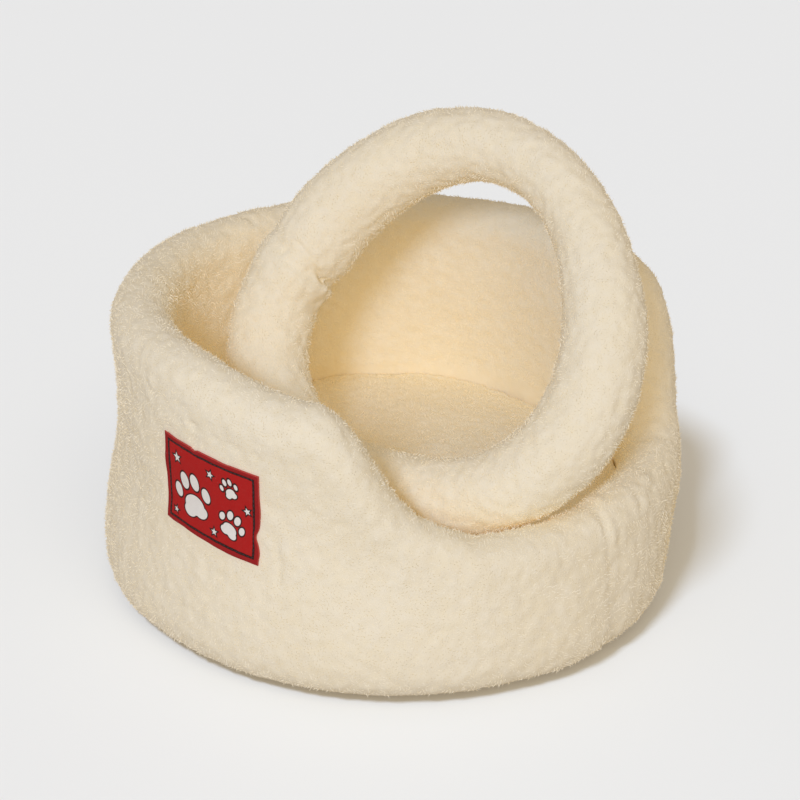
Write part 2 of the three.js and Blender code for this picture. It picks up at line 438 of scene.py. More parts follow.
def room_around(points, *left_out):
    """How far each point is from the nearest of the solids but those left out, up to FAR."""
    others = [tree for name, tree in trees.items() if name not in left_out]
    room = np.full(len(points), float(FAR))
    for i, point in enumerate(points * MM):
        for tree in others:
            distance = tree.find_nearest(Vector(point), FAR * MM)[3]
            if distance is not None:
                room[i] = min(room[i], distance / MM)
    return room


def distance_to(node, points):
    """How far each point is from one solid, up to FAR."""
    found = [trees[node].find_nearest(Vector(point), FAR * MM)[3] for point in points * MM]
    return np.array([FAR if distance is None else distance / MM for distance in found])


def outside(points, node):
    """How far each point lies outside its solid, below 0 inside it, and the way out there."""
    distances = np.zeros(len(points))
    ways_out = np.zeros((len(points), 3))
    for i, point in enumerate(points * MM):
        nearest, normal, _, _ = trees[node].find_nearest(Vector(point))
        distances[i] = (Vector(point) - nearest).dot(normal) / MM
        ways_out[i] = normal
    return distances, ways_out


def own_share(room):
    """A piece may take half of the room beside it, less a margin."""
    return 0.5 * room - MARGIN


def push(mesh, relief, room):
    """Moves each point along its normal, outwards no further than its own share of the room."""
    move = np.minimum(relief, np.maximum(own_share(room), 0))
    put_points(mesh, points_of(mesh) + normals_of(mesh) * move[:, None])


print("search trees", sorted(trees))

# %% [markdown]
# The cloth's relief is of two kinds. Lumps and crumbs come from noise of three sizes: slow swells of
# the stuffing, dents, and the crumbs into which the fleece's pile clumps. Folds and seams come from
# short tables: each row is a path on the surface with a width and a height. The path's places are
# snapped to the solid, so a row only needs a few of them.

# %% Lumps and folds
SEED_SHIFT = Vector((17.3, 5.1, 9.7))
STEPS_FOR_EACH_ROW = 8
FOLD_REACH = 3
FOLD_END = 2.5
LONGEST_END = 0.35


def smooth_step(low, high, values):
    share = np.clip((values - low) / (high - low), 0, 1)
    return share * share * (3 - 2 * share)


def lumps(points, rows):
    """The sum of soft noise for a table of sizes, heights and seeds."""
    total = np.zeros(len(points))
    for row in rows:
        shift = SEED_SHIFT * row["seed"]
        values = [noise.noise(Vector(p) / row["size"] + shift) for p in points]
        total += row["height"] * np.array(values)
    return total


def around(angle, radius, height):
    """A point at an angle round the bed, 0 at the middle of the entrance, in degrees."""
    turn = math.radians(angle)
    return np.array([radius * math.sin(turn), -radius * math.cos(turn), height])


def polar(points):
    """Angle round the bed in degrees, radius and height."""
    angle = np.degrees(np.arctan2(points[:, 0], -points[:, 1]))
    return angle, np.hypot(points[:, 0], points[:, 1]), points[:, 2]


def surface_path(node, place, rows):
    """A line on a node's surface through rows of coordinates, which place turns into points."""
    rows = np.array(rows, float)
    count = len(rows)
    steps = np.linspace(0, count - 1, STEPS_FOR_EACH_ROW * (count - 1) + 1)
    fine = np.stack([np.interp(steps, range(count), column) for column in rows.T], axis=1)
    return np.array([trees[node].find_nearest(Vector(place(*row)) * MM)[0] for row in fine]) / MM


def along_path(points, path):
    """Each point's distance to the path, and how far along the path that is, 0 to 1."""
    steps = np.linalg.norm(np.diff(path, axis=0), axis=1)
    starts = np.concatenate([[0], np.cumsum(steps)])
    best = np.full(len(points), np.inf)
    share = np.zeros(len(points))
    for i, step in enumerate(steps):
        direction = (path[i + 1] - path[i]) / step
        reach = np.clip((points - path[i]) @ direction, 0, step)
        distance = np.linalg.norm(points - path[i] - reach[:, None] * direction, axis=1)
        nearer = distance < best
        best[nearer] = distance[nearer]
        share[nearer] = (starts[i] + reach[nearer]) / starts[-1]
    return best, share


def fold(width, height, *path):
    """A ridge, or a groove if its height is below 0, and the places on the surface that it passes."""
    return {"width": width, "height": height, "path": path}


def folds(points, node, place, rows):
    """The height of some folds at each point. A fold fades towards both of its ends."""
    total = np.zeros(len(points))
    for row in rows:
        path = surface_path(node, place, row["path"])
        reach = FOLD_REACH * row["width"]
        near = np.all((points > path.min(0) - reach) & (points < path.max(0) + reach), axis=1)
        distance, share = along_path(points[near], path)
        length = np.linalg.norm(np.diff(path, axis=0), axis=1).sum()
        fade = min(FOLD_END * row["width"] / length, LONGEST_END)
        ends = smooth_step(0, fade, share) * smooth_step(1, 1 - fade, share)
        total[near] += row["height"] * ends * np.exp(-((distance / row["width"]) ** 2))
    return total


print("relief helpers ready")

# %% [markdown]
# The pile is thousands of short locks. Blender's hair could grow them, but hair doesn't survive an
# export, so a Geometry Nodes tree scatters real locks: a thin three-sided cone is set on each point,
# leans away from the cloth's normal and turns with its neighbours, as brushed fleece does. Noise lets
# the locks stand up in small tufts and lie flat between them, which gives the outline its soft bumps.
# Fleece looks soft because light passes from lock to lock, so each lock is shaded mostly with the
# cloth's normal instead of its own. The cloth's attribute called pile says where it grows. The tree
# ends with real geometry and its own material.

# %% Pile tree
def group_with(name, inputs):
    """A geometry group with a geometry socket each way and the named inputs, and its input node."""
    tree = bpy.data.node_groups.new(name, "GeometryNodeTree")
    tree.interface.new_socket("Geometry", in_out="INPUT", socket_type="NodeSocketGeometry")
    for label, kind, value in inputs:
        socket = tree.interface.new_socket(label, in_out="INPUT", socket_type=kind)
        if value is not None:
            socket.default_value = value
    tree.interface.new_socket("Geometry", in_out="OUTPUT", socket_type="NodeSocketGeometry")
    graph = Graph(tree)
    entry = graph.node("NodeGroupInput", {}, {})
    return graph, {socket.name: Value(graph, socket) for socket in entry.outputs if socket.name}


def stored(geometry, name, value, domain="POINT", kind="FLOAT"):
    """The geometry with a named attribute, which later nodes and materials can read."""
    inputs = {"Geometry": geometry, "Name": name, "Value": value}
    return graph.value("GeometryNodeStoreNamedAttribute", {"data_type": kind, "domain": domain}, inputs)


def read(name, kind="FLOAT"):
    return graph.value("GeometryNodeInputNamedAttribute", {"data_type": kind}, {"Name": name}, "Attribute")


def vector(x, y, z):
    return graph.value("ShaderNodeCombineXYZ", {}, {"X": x, "Y": y, "Z": z})


def turned_to(direction):
    """A turn that points an upright shape in a direction."""
    return graph.value("FunctionNodeAlignRotationToVector", {"axis": "Z"}, {"Vector": direction})


def set_on(points, shape, turn, scale):
    """A copy of the shape on each point."""
    inputs = {"Points": points, "Instance": shape, "Rotation": turn, "Scale": scale}
    return graph.value("GeometryNodeInstanceOnPoints", {}, inputs)


def random_number(low, high, number):
    """A random number for each lock. Its number keeps it apart from the tree's other random numbers."""
    inputs = {2: low, 3: high, "Seed": given["Seed"] + number}
    return graph.value("FunctionNodeRandomValue", {"data_type": "FLOAT"}, inputs, 1)


def end_tree(geometry):
    """Gives the real geometry its material and sends it out of the tree."""
    inputs = {"Geometry": geometry, "Material": given["Material"]}
    graph.node("NodeGroupOutput", {}, {0: graph.value("GeometryNodeSetMaterial", {}, inputs)})
    return graph.tree


PILE = {"Spacing": 2.15 * MM, "Length": 3.1 * MM, "Width": 0.7 * MM, "Lean": 1.1}
LOCK_SIDES = 3
LOCK_SHADING = 0.3
CLUMP_SIZE = 16 * MM
TUFT_SIZE = 7 * MM
# How many points are tried in a square of the spacing before the near ones are dropped.
TRIED_POINTS = 3.0
CLUMP_TURN = 6 * math.pi
TUFT_LEAN = 2.4
LEAN_BACK = -0.2
SPREAD = {"spin": (-0.9, 0.9), "lean": (0.75, 1.2), "length": (0.65, 1.2), "width": (0.8, 1.3)}

sizes = [(label, "NodeSocketFloat", value) for label, value in PILE.items()]
others = [("Seed", "NodeSocketInt", 1), ("Material", "NodeSocketMaterial", None)]
graph, given = group_with("pile", sizes + others)
grows = read("pile")
scatter = graph.node(
    "GeometryNodeDistributePointsOnFaces",
    {"distribute_method": "POISSON"},
    {
        "Mesh": given["Geometry"],
        "Distance Min": given["Spacing"],
        "Density Max": TRIED_POINTS * given["Spacing"] ** -2.0,
        "Density Factor": grows,
        "Seed": given["Seed"],
    },
)
cloth_normal = Value(graph, scatter.outputs["Normal"])
scattered = Value(graph, scatter.outputs["Points"])
points = stored(scattered, "cloth_normal", cloth_normal, kind="FLOAT_VECTOR")
position = graph.value("GeometryNodeInputPosition", {}, {})
clump = graph.noise(position, CLUMP_SIZE, 1)
tuft = graph.noise(position, TUFT_SIZE, 1)
spin = clump * CLUMP_TURN + random_number(*SPREAD["spin"], 1.0)
lean = given["Lean"] * (tuft * TUFT_LEAN + LEAN_BACK) * random_number(*SPREAD["lean"], 2.0)
tilt = graph.value("FunctionNodeEulerToRotation", {}, {"Euler": vector(lean, 0.0, spin)})
turns = {"Rotation": turned_to(cloth_normal), "Rotate By": tilt}
rotation = graph.value("FunctionNodeRotateRotation", {"rotation_space": "LOCAL"}, turns)

cone = graph.value(
    "GeometryNodeMeshCone",
    {"fill_type": "NGON"},
    {
        "Vertices": LOCK_SIDES,
        "Side Segments": 1,
        "Radius Top": 0.0,
        "Radius Bottom": given["Width"] * 0.5,
        "Depth": given["Length"],
    },
)
lock_height = graph.value("ShaderNodeSeparateXYZ", {}, {"Vector": position}, "Z")
lock = stored(cone, "tip", lock_height / given["Length"])
length_share = random_number(*SPREAD["length"], 3.0)
width_share = random_number(*SPREAD["width"], 4.0)
locks = set_on(points, lock, rotation, vector(width_share, width_share, length_share))
locks = stored(locks, "tone", random_number(0.0, 1.0, 5.0), domain="INSTANCE")
real = graph.value("GeometryNodeRealizeInstances", {}, {"Geometry": locks})
own_normal = graph.value("GeometryNodeInputNormal", {}, {})
factor, first, second, result = 0, 4, 5, 1
normals = {factor: LOCK_SHADING, first: read("cloth_normal", "FLOAT_VECTOR"), second: own_normal}
soft_normal = graph.value("ShaderNodeMix", {"data_type": "VECTOR"}, normals, result)
real = graph.value(
    "GeometryNodeSetMeshNormal",
    {"mode": "FREE", "domain": "POINT"},
    {"Mesh": real, "Custom Normal": soft_normal},
)
real = graph.value("GeometryNodeRemoveAttribute", {}, {"Geometry": real, "Name": "cloth_normal"})
pile_group = end_tree(real)


def run_tree(piece, group, values):
    """Runs a geometry tree on the piece with these inputs and leaves its result as a plain mesh."""
    modifier = piece.modifiers.new(group.name, "NODES")
    modifier.node_group = group
    for socket in group.interface.items_tree:
        if socket.in_out == "INPUT" and socket.name in values:
            modifier[socket.identifier] = values[socket.name]
    piece.data.update()
    return settled(piece)


print("pile tree nodes", len(pile_group.nodes))

# %% [markdown]
# The wall is a band of foam in a fleece cover, closed to a ring. Its cover is sewn together near the
# middle of the entrance, where a soft ridge stands beside the seam, and small folds cross the rim where
# the band bends. A stuffed cushion is best inflated by a cloth simulation, but foam keeps its shape, so
# here the remeshed solid is only given the cloth's own relief.

# %% Wall
WALL_VOXEL = 3.1
NEST_RADIUS = 205
CUSHION_BAND = (60, 84)
FOOT_FADE = (2, 9)
PATCH_FADE = (1, 5)
FLEECE_LUMPS = [
    {"size": 55, "height": 1.3, "seed": 3},
    {"size": 19, "height": 0.6, "seed": 5},
    {"size": 7.5, "height": 1.1, "seed": 7},
]
# Each place is an angle round the bed, a radius and a height.
WALL_FOLDS = {
    "seam ridge": fold(
        4.5, 1.8, (0.5, 208, 119), (-2.6, 220, 121), (-3.6, 234, 110), (-4.4, 240, 92), (-4.7, 242, 82)
    ),
    "faint ridge": fold(6, 0.4, (-4.6, 242, 84), (-5, 246, 60), (-5.4, 250, 25)),
    "seam groove": fold(2, -2, (-3.8, 224, 120), (-5.4, 232, 110), (-6, 239, 97)),
    "faint groove": fold(3, -0.5, (-6, 238, 98), (-6.8, 244, 70), (-7, 249, 35)),
    "seam shade": fold(6, -0.8, (-1.2, 236, 104), (-1.8, 243, 80), (-2.4, 247, 50)),
    "crumple 1": fold(1.9, -2, (18, 225, 119), (15, 233, 115), (11, 234, 114)),
    "crumple 2": fold(2.4, 1.6, (15, 222, 121), (12.5, 229, 119), (9, 232, 118)),
    "crumple 3": fold(1.8, -1.6, (24.5, 229, 118), (22.5, 233, 114), (20.5, 237, 109)),
    "crumple 4": fold(2.2, 1.3, (9.5, 233, 116), (8, 238, 108), (6.5, 240, 102)),
    "crumple 5": fold(2, -1.4, (7, 230, 119), (6, 236, 112), (4.5, 239, 105)),
    "crumple 6": fold(2.2, -1.2, (3, 228, 120), (2.5, 234, 114), (1.5, 239, 106)),
    "crumple 7": fold(2.4, -1.4, (29, 205, 118), (31, 220, 123), (32, 232, 118)),
    "tack 1": fold(2.6, -2, (-91, 234, 204), (-88.7, 234, 203), (-87, 234, 201)),
    "tack 2": fold(2.2, -1.6, (-86, 234, 201), (-84, 234, 199.5), (-82.5, 233, 198)),
    "tack 3": fold(2, -1.6, (-81.5, 233, 197.6), (-79.8, 233, 197), (-78.5, 233, 196.5)),
    "tack 4": fold(2.2, -1.5, (-77, 233, 196), (-75.6, 233, 195), (-74, 233, 194)),
    "mark": fold(2.4, -1.5, (-71.4, 235, 130), (-70.7, 240, 108), (-70.4, 243, 88)),
    "dent in the rim": fold(3, -2.2, (172, 190, 240), (173, 205, 249), (175, 214, 249)),
}

wall = remeshed(copy_of("wall", "wall_cover"), WALL_VOXEL, smoothing=3)
points = points_of(wall.data)
angle, radius, height = polar(points)
wall_room = room_around(points, "wall")
beside_cushion = (radius < NEST_RADIUS) & (height > CUSHION_BAND[0]) & (height < CUSHION_BAND[1])
wall_room[beside_cushion] = np.minimum(wall_room[beside_cushion], 2 * MARGIN)
wall_folds = folds(points, "wall", around, WALL_FOLDS.values())
relief = lumps(points, FLEECE_LUMPS) + wall_folds
from_patch = distance_to("patch", points)
fades = smooth_step(*FOOT_FADE, height) * smooth_step(*PATCH_FADE, from_patch)
push(wall.data, relief * fades, wall_room)
print("wall triangles", triangles_of(wall), "relief in mm", relief.min().round(1), relief.max().round(1))

# %% [markdown]
# The pile of the wall is made in two pieces, outside and inside, which share the rim between them. It
# doesn't grow where the wall stands on the floor, behind the cushion or under the patch.

# %% Wall pile
RIM_MIDDLE = 212
RIM_BLEND = 8
PILE_FOOT = (7, 10)
PILE_ROOM = (1.4, 3.5)
PILE_LOWEST_INSIDE = 74
BARE_FOLD = (1.8, 0.7)


def set_pile(piece, shares):
    """Says where the pile grows on a piece, from 0 to 1 at each of its points."""
    layer = piece.data.attributes.get("pile") or piece.data.attributes.new("pile", "FLOAT", "POINT")
    layer.data.foreach_set("value", shares.astype(np.float32))


def with_pile(piece, name, seed, shares):
    """A piece of its own that holds the locks of another piece's pile."""
    set_pile(piece, shares)
    pile = new_piece(name, piece.data.copy())
    run_tree(pile, pile_group, {"Material": fleece_pile, "Seed": seed, **PILE})
    print(name, "triangles", triangles_of(pile))
    return pile


def out_of_folds(heights):
    """The pile stays out of deep folds, so that they show as fine dark lines."""
    return smooth_step(*BARE_FOLD, -heights)


open_cloth = smooth_step(*PILE_FOOT, height) * smooth_step(*PILE_ROOM, wall_room)
open_cloth *= out_of_folds(wall_folds)
behind_cushion = (radius < NEST_RADIUS) & (height < PILE_LOWEST_INSIDE)
outer_share = smooth_step(RIM_MIDDLE - RIM_BLEND, RIM_MIDDLE + RIM_BLEND, radius)
grows = open_cloth * ~behind_cushion
wall_pile_outside = with_pile(wall, "wall_pile_outside", 1, grows * outer_share)
wall_pile_inside = with_pile(wall, "wall_pile_inside", 2, grows * (1 - outer_share))

# %% [markdown]
# The cushion and the ring are covers stuffed with loose fibre, so their form comes from pressure
# inside. Each is remeshed coarsely, made a little smaller, and inflated by Blender's cloth simulation
# with gravity off. A cap on how far a point may move keeps it in the space of its solid, and one
# subdivision gives it faces fine enough for seams and crumbs.

# %% Stuffing
PRESSURE = 4
STUFFING_FRAMES = 20
LEAST_MOVE = 0.001


def inflated(piece, shrink, cap):
    """The piece made smaller by shrink, then swollen, with no point moved further than the cap."""
    start = points_of(piece.data) - normals_of(piece.data) * shrink
    put_points(piece.data, start)
    cloth = piece.modifiers.new("stuffing", "CLOTH")
    cloth.settings.use_pressure = True
    cloth.settings.uniform_pressure_force = PRESSURE
    cloth.settings.effector_weights.gravity = 0
    for step in range(1, STUFFING_FRAMES + 1):
        scene.frame_set(step)
    settled(piece)
    scene.frame_set(1)
    move = points_of(piece.data) - start
    distance = np.linalg.norm(move, axis=1)
    move *= np.minimum(1, cap / np.maximum(distance, LEAST_MOVE))[:, None]
    put_points(piece.data, start + move)
    print(piece.name, "swelled by", distance.mean().round(1), "mm, at most", distance.max().round(1))
    return piece


def stuffed(node, name, voxel, shrink, cap):
    """A node's cover, stuffed and with fine faces."""
    piece = inflated(remeshed(copy_of(node, name), voxel, smoothing=2), shrink, cap)
    piece.modifiers.new("finer", "SUBSURF").levels = 1
    return settled(piece)


def finer_along(piece, path, reach):
    """Splits the faces within reach of a path, so that they can hold a narrow crease."""
    distance, _ = along_path(points_of(piece.data), path)
    shape = shape_of(piece.data)
    near = [e for e in shape.edges if all(distance[v.index] < reach for v in e.verts)]
    bmesh.ops.subdivide_edges(shape, edges=near, cuts=1, use_grid_fill=True)
    put_shape(shape, piece.data)


def kept_in_place(piece, node, beyond, *left_out):
    """Draws back each point that stands further out of its solid than beyond, or than it has room."""
    points = points_of(piece.data)
    room = room_around(points, node, *left_out)
    distance, way_out = outside(points, node)
    allowed = np.minimum(beyond, own_share(room))
    put_points(piece.data, points - way_out * np.maximum(distance - allowed, 0)[:, None])
    return room


def tree_of(piece):
    """A dressed piece as a search tree."""
    shape = shape_of(piece.data)
    tree = BVHTree.FromBMesh(shape)
    shape.free()
    return tree


def clear_of(piece, tree, gap):
    """Moves the points that are too near to a dressed neighbour away from it."""
    points = points_of(piece.data)
    for i, point in enumerate(points * MM):
        nearest, normal, _, _ = tree.find_nearest(Vector(point), FAR * MM)
        if nearest is not None:
            distance = (Vector(point) - nearest).dot(normal) / MM
            points[i] += np.array(normal) * max(gap - distance, 0)
    put_points(piece.data, points)


wall_tree = tree_of(wall)


def on_bed(slot, *pieces):
    """The pieces ride on the bed. The slot argument is not used."""
    for piece in pieces:
        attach(piece, "root")


def finish_cover(piece, node):
    """A finished fleece cover rides on the bed and stands for its solid, which it hides."""
    piece.data.materials.clear()
    piece.data.materials.append(fleece)
    piece.data.polygons.foreach_set("use_smooth", [True] * len(piece.data.polygons))
    on_bed("fleece", piece)
    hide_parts(node)


def finish_pile(*piles):
    """Finished pile rides on the bed. It lets light through, so it neither shades nor lights the cloth."""
    for pile in piles:
        pile.visible_shadow = False
        pile.visible_diffuse = False
    on_bed("fleece", *piles)


finish_cover(wall, "wall")
finish_pile(wall_pile_outside, wall_pile_inside)

# %% [markdown]
# The floor cushion fills the nest from wall to wall. In the photo only its far edge shows, as a fine
# line against the wall, a little higher at the back than at the right. The edge is sewn, so it is
# squared where the inflated form is round, has a groove inside it and puckers at the stitches.

# %% Cushion
CUSHION_VOXEL = 5
CUSHION_RADIUS = 191.4
CUSHION_TOP = 72
EDGE_ROUND = 11
EDGE_SQUARING = 0.8
# The height of the edge by the angle round the bed.
EDGE_HEIGHTS = {
    -180: 74, -150: 72, 30: 71.5, 52: 71.5, 66: 68, 90: 66.5,
    100: 68.5, 107: 71, 118: 73.5, 130: 75, 150: 75.5, 180: 74,
}
EDGE_WITHIN = {"radius": (110, 180), "height": (30, 65)}
TOP_FADE = (60, 66)
FLOOR_FADE = (4, 12)
PILE_EDGE = (190, 187)
EDGE_GROOVE = {"radius": 185.5, "width": 2, "depth": 1.2}
PUCKERS = {"apart": 5.5, "depth": 1.4, "reach": 8, "seed": (0.5, 3.5)}
EDGE_GAP = 0.3
EDGE_BEYOND = 6
NOT_ZERO = 0.01

cushion = stuffed("floor_cushion", "cushion_cover", CUSHION_VOXEL, shrink=2, cap=3.5)
kept_in_place(cushion, "floor_cushion", 0)
points = points_of(cushion.data)
angle, radius, height = polar(points)
widening = CUSHION_RADIUS / np.percentile(radius, 99)
radius *= widening
across = (radius - CUSHION_RADIUS + EDGE_ROUND) / EDGE_ROUND
upwards = (height - CUSHION_TOP + EDGE_ROUND) / EDGE_ROUND
corner = (across > 0) & (upwards > 0)
squarer = np.ones(len(points))
longest = np.maximum(across, upwards)[corner]
squarer[corner] += EDGE_SQUARING * (np.hypot(across, upwards)[corner] / longest - 1)
new_radius = np.where(corner, CUSHION_RADIUS + EDGE_ROUND * (across * squarer - 1), radius)
new_height = np.where(corner, CUSHION_TOP + EDGE_ROUND * (upwards * squarer - 1), height)
edge_height = np.interp(angle, list(EDGE_HEIGHTS), list(EDGE_HEIGHTS.values()))
near_edge = smooth_step(*EDGE_WITHIN["radius"], radius) * smooth_step(*EDGE_WITHIN["height"], height)
new_height += (edge_height - CUSHION_TOP) * near_edge
stretch = widening * np.minimum(new_radius, CUSHION_RADIUS) / np.maximum(radius, NOT_ZERO)
points[:, :2] *= stretch[:, None]
points[:, 2] = new_height
put_points(cushion.data, points)
kept_in_place(cushion, "floor_cushion", EDGE_BEYOND, "wall")
clear_of(cushion, wall_tree, EDGE_GAP)

points = points_of(cushion.data)
angle, radius, height = polar(points)
cushion_room = room_around(points, "floor_cushion")
relief = lumps(points, FLEECE_LUMPS)
on_top = smooth_step(*TOP_FADE, height)
groove = np.exp(-(((radius - EDGE_GROOVE["radius"]) / EDGE_GROOVE["width"]) ** 2))
pucker_noise = [noise.noise(Vector((a / PUCKERS["apart"], *PUCKERS["seed"]))) for a in angle]
pucker = np.maximum(np.array(pucker_noise), 0) * smooth_step(PUCKERS["reach"], 0, CUSHION_RADIUS - radius)
relief -= on_top * (EDGE_GROOVE["depth"] * groove + PUCKERS["depth"] * pucker)
push(cushion.data, relief * smooth_step(*FLOOR_FADE, height), cushion_room)
cushion_pile = with_pile(cushion, "cushion_pile", 11, on_top * smooth_step(*PILE_EDGE, radius))
finish_cover(cushion, "floor_cushion")
finish_pile(cushion_pile)
print("cushion widened by", round(widening, 3))

# %% [markdown]
# The bolster ring is a stuffed tube, closed by sewing its two ends together. The upper end tucks into
# the fuller lower one, so the joint is a deep crease that is sharpest on the inside of the ring. The
# cover wrinkles on the inside at the top, where the tube is bent and squeezed. The ring's own
# coordinates are the angle round the ring and the angle round its tube, which is 0 on the outside and
# 180 on the inside.

# %% Ring
RING_VOXEL = 4.1
RING_RADIUS = 146.6
RING_TUBE_RADIUS = 35
RING_CENTRE = np.array([-14.2, -54.2, 228.1])
RING_LEAN = 57
RING_FACES = -80.4
ring_right = around(RING_FACES + 90, 1, 0)
lean = math.radians(RING_LEAN)
ring_up = around(RING_FACES + 180, math.cos(lean), math.sin(lean))
ring_face = np.cross(ring_right, ring_up)
JOINT_REACH = 8
JOINT_BARE_WIDTH = 3.4
# Each place is an angle round the ring and an angle round its tube.
RING_FOLDS = {
    "joint crease": fold(
        2.1, -5, (164, 104), (164.5, 122), (166.8, 140), (171, 161), (174, 178), (176, 205), (176.5, 240)
    ),
    "lip of the lower end": fold(4, 1.6, (168.4, 98), (168.9, 118), (170.4, 133), (172, 146)),
    "hollow inside the joint": fold(12, -2.5, (180, 125), (183, 165), (183, 220), (183, 290)),
    "branch": fold(2, -1.5, (165, 112), (168, 102), (172, 96)),
    "inner wrinkle 1": fold(2.2, -2, (88, 125), (89.5, 145), (90, 170)),
    "inner wrinkle 2": fold(2, -1.8, (95, 120), (96, 140), (95.5, 165)),
    "inner wrinkle 3": fold(2.4, -2.2, (103, 118), (104, 140), (106, 172)),
    "inner wrinkle 4": fold(2, -1.8, (111, 122), (112, 145), (113, 170)),
    "inner wrinkle 5": fold(2.4, -1.5, (124, 130), (127, 150), (128, 172)),
    "inner wrinkle 6": fold(2.4, -1.5, (194, 120), (196, 140), (199, 160)),
    "inner wrinkle 7": fold(2.2, -1.4, (206, 118), (208, 138), (209, 160)),
    "fullness at the left": fold(24, 3, (176, 20), (190, 30), (205, 30), (218, 20)),
}


def on_ring(angle, across):
    """A point on the tube at an angle round the ring and an angle round the tube."""
    turn, side = math.radians(angle), math.radians(across)
    outwards = ring_right * math.cos(turn) + ring_up * math.sin(turn)
    radius = RING_RADIUS + RING_TUBE_RADIUS * math.cos(side)
    return RING_CENTRE + outwards * radius + ring_face * RING_TUBE_RADIUS * math.sin(side)


ring = stuffed("bolster_ring", "ring_cover", RING_VOXEL, shrink=2.5, cap=4)
joint = RING_FOLDS["joint crease"]
finer_along(ring, surface_path("bolster_ring", on_ring, joint["path"]), JOINT_REACH)
ring_room = kept_in_place(ring, "bolster_ring", 1)
points = points_of(ring.data)
ring_folds = folds(points, "bolster_ring", on_ring, RING_FOLDS.values())
push(ring.data, lumps(points, FLEECE_LUMPS) + ring_folds, ring_room)
wide_joint = folds(points, "bolster_ring", on_ring, [{**joint, "width": JOINT_BARE_WIDTH}])
grows = smooth_step(*PILE_ROOM, ring_room) * out_of_folds(np.minimum(ring_folds, wide_joint))
ring_pile = with_pile(ring, "ring_pile", 21, grows)
finish_cover(ring, "bolster_ring")
finish_pile(ring_pile)

# %% [markdown]
# The patch is a rectangle of red woven cloth, sewn flat to the wall through its folded hem with dark
# thread that runs over a dark woven line. Its motifs could be a picture, but a drawing by shader maths
# stays sharp at any size. Each motif is a distance in millimetres to its outline, which is a minimum
# over a few ovals for a paw print and a folded angle for a star. White fills the inside and a black
# line follows the outline. These are generic motifs of the kind that any pet bed might have.

# %% Patch cloth
PATCH = {"wide": 93, "tall": 73, "thick": 1.2, "angle": -86, "height": 147, "slope": 6.5}
PATCH_MAP_SIZE = 100
PATCH_RED = (0.50, 0.010, 0.008, 1)
# Painted shade: the folded hem is painted a darker red.
PATCH_HEM_SHADE_RED = (0.36, 0.010, 0.010, 1)
# Painted highlight: the very edge of the fold is painted a lighter red.
PATCH_FOLD_HIGHLIGHT_RED = (0.55, 0.07, 0.05, 1)
PATCH_DARK = (0.030, 0.006, 0.004, 1)
PATCH_WHITE = (0.97, 0.94, 0.82, 1)
DARK_LINE = {"inset": 4.5, "width": 1.9}
OUTLINE = 0.45


def motif_row(x, y, size, turn):
    """A motif's place from the patch's middle, its size, and its turn in degrees."""
    return {"x": x, "y": y, "size": size, "turn": turn}


# Ovals in shares of the paw print's size, from its middle, with the toes upwards.
PAW_OVALS = [{"x": 0, "y": -0.18, "wide": 0.27, "tall": 0.22}]
for side in (-1, 1):
    PAW_OVALS.append({"x": side * 0.14, "y": -0.29, "wide": 0.18, "tall": 0.15})
    PAW_OVALS.append({"x": side * 0.38, "y": 0.07, "wide": 0.115, "tall": 0.165})
    PAW_OVALS.append({"x": side * 0.14, "y": 0.29, "wide": 0.125, "tall": 0.185})
PAWS = [motif_row(-16, -5, 40, 14), motif_row(22, -13, 25, -20), motif_row(21, 17, 18, 22)]
STARS = [
    motif_row(-32, 21, 5.5, 10),
    motif_row(3, 22, 4.5, -12),
    motif_row(36.5, 4, 4.4, 20),
    motif_row(-35, -25, 3.8, -8),
    motif_row(6, -25, 4.2, 5),
]
STAR_WAIST = 0.45
STAR_POINTS = 5
# More than any distance on the patch.
FAR_AWAY = 99.0
# How far inside and outside its edge a line's colour fades out.
WOVEN_EDGE = (-0.25, 0.35)
PRINTED_EDGE = (-0.15, 0.25)
HEM_SHADE_FADE = (2.5, 4.5)
FOLD_HIGHLIGHT_FADE = (0.2, 0.7)
LINE_WOBBLE = 0.8
WORN = (0.30, 0.12, 0.09, 1)
THREAD_PITCH = 0.62
THREAD_WEAR = 0.05
WOBBLE_WEAR = 0.1
THREAD = (0.03, 0.015, 0.014, 1)

patch_cloth, graph, shader = new_material("patch_cloth")
map_place = graph.value("ShaderNodeUVMap", {"uv_map": "cloth"}, {})
split = graph.node("ShaderNodeSeparateXYZ", {}, {"Vector": map_place})
across, up = [(Value(graph, split.outputs[name]) - 0.5) * PATCH_MAP_SIZE for name in ("X", "Y")]


def turned_by(row):
    """Coordinates from the motif's middle, turned with it."""
    turn = math.radians(row["turn"])
    aside, above = across - row["x"], up - row["y"]
    return aside * math.cos(turn) + above * math.sin(turn), above * math.cos(turn) - aside * math.sin(turn)


def paw_distance(row):
    """How far outside the paw print's outline, in millimetres."""
    aside, above = turned_by(row)
    nearest = FAR_AWAY
    for oval in PAW_OVALS:
        wide, tall = oval["wide"] * row["size"], oval["tall"] * row["size"]
        share_aside = (aside - oval["x"] * row["size"]) / wide
        share_above = (above - oval["y"] * row["size"]) / tall
        radius = (share_aside * share_aside + share_above * share_above) ** 0.5
        nearest = graph.maths("MINIMUM", nearest, (radius - 1) * min(wide, tall))
    return nearest


def star_distance(row):
    """How far outside the star's outline. One edge serves them all by folding the angle."""
    aside, above = turned_by(row)
    sector = 2 * math.pi / STAR_POINTS
    angle = graph.maths("ARCTAN2", aside, above) / sector
    folded = graph.maths("ABSOLUTE", graph.maths("FRACT", angle + 0.5) - 0.5) * sector
    radius = (aside * aside + above * above) ** 0.5
    outer, inner = row["size"], STAR_WAIST * row["size"]
    edge = (inner * math.cos(sector / 2) - outer, inner * math.sin(sector / 2))
    length = math.hypot(*edge)
    along = graph.maths("COSINE", folded) * radius - outer
    return (along * edge[1] - graph.maths("SINE", folded) * radius * edge[0]) / length


